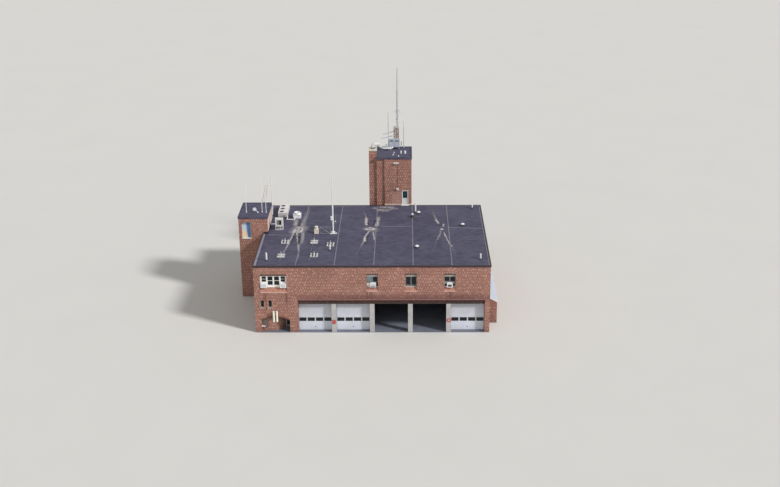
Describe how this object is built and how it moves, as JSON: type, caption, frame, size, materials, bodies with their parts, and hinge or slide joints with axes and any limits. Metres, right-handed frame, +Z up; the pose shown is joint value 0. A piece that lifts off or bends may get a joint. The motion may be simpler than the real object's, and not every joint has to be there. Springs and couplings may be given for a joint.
{
  "type": "fire station building",
  "caption": "Flat-roofed brick fire station, hollow, with vehicle bays, an arched porch with a hinged door, a stair tower, a hose tower and a lattice mast.",
  "frame": {"origin": "on the ground, in the middle of the building's overall width and depth", "axes": "+X along the front to the right, +Y from the front to the back, +Z up"},
  "size_m": [29.94, 24.21, 24.5],
  "materials": {
    "brick": "weathered red-brown face brick with pale mortar",
    "dark_brick": "dark brown brick band",
    "concrete": "plain concrete",
    "pier_concrete": "smooth cream-grey cast piers",
    "roofing": "dark grey roofing sheet, matt, with welded laps",
    "trim": "dark bronze sheet-metal edge",
    "door_paint": "white sectional door, satin",
    "white_metal": "white painted metal, satin",
    "white_plastic": "white glass-fibre and plastic",
    "cabinet_paint": "cream enamelled sheet metal",
    "galvanised": "weathered galvanised steel",
    "annex_metal": "pale blue-grey ribbed sheet",
    "door_glass": "dark bronze entrance door",
    "glass": "dark window glass"
  },
  "bodies": {
    "building": {"ground_slab": "concrete", "second_floor_slab": "concrete", "main_roof": "roofing", "roof_edge_trim": "trim", "front_wall_upper": "brick", "entrance_wall_left": "brick", "entrance_wall_right": "brick", "entrance_arch": "brick", "porch_back_wall": "brick", "porch_ceiling": "concrete", "porch_screen_wall": "brick", "porch_side_panel": "white_metal", "entrance_door_frame": "white_metal", "porch_lanterns": "white_plastic", "bay_lintel": "dark_brick", "bay_pier_1": "pier_concrete", "bay_pier_2": "pier_concrete", "bay_pier_3": "pier_concrete", "bay_pier_4": "pier_concrete", "bay_end_walls": "brick", "bay_door_1": "door_paint", "bay_door_2": "door_paint", "raised_door_3": "door_paint", "raised_door_4": "door_paint", "bay_door_5": "door_paint", "bay_door_glass": "glass", "door_tracks": "galvanised", "left_wall": "brick", "right_wall": "brick", "rear_wall": "brick", "front_window_frames": "white_metal", "front_window_glass": "glass", "air_conditioners": "white_plastic", "side_window_frames": "white_metal", "side_window_glass": "glass", "stair_tower_front_wall": "brick", "stair_tower_side_walls": "brick", "stair_tower_back_wall": "brick", "stair_tower_roof": "roofing", "stair_tower_window": "white_metal", "stair_tower_aerials": "white_plastic", "hose_tower_front_wall": "brick", "hose_tower_side_walls": "brick", "hose_tower_back_wall": "brick", "hose_tower_roof": "roofing", "roof_access_door": "white_metal", "chimney": "brick", "chimney_cap": "white_metal", "lattice_mast": "galvanised", "tower_aerials": "white_plastic", "equipment_cabinet": "cabinet_paint", "annex_walls": "brick", "annex_roof": "annex_metal", "roof_condensers": "cabinet_paint", "roof_units": "cabinet_paint", "roof_mast": "white_plastic", "aerial_mounts": "white_metal", "roof_vents": "galvanised"},
    "entrance_door": {"entrance_door": "door_glass"}
  },
  "joints": [
    {"name": "entrance_door_hinge", "type": "hinge", "parent": "building", "child": "entrance_door", "pos_m": [-7.9575, -10.14, 1.1], "axis": [0, 0, -1], "range_deg": [0, 90]}
  ]
}
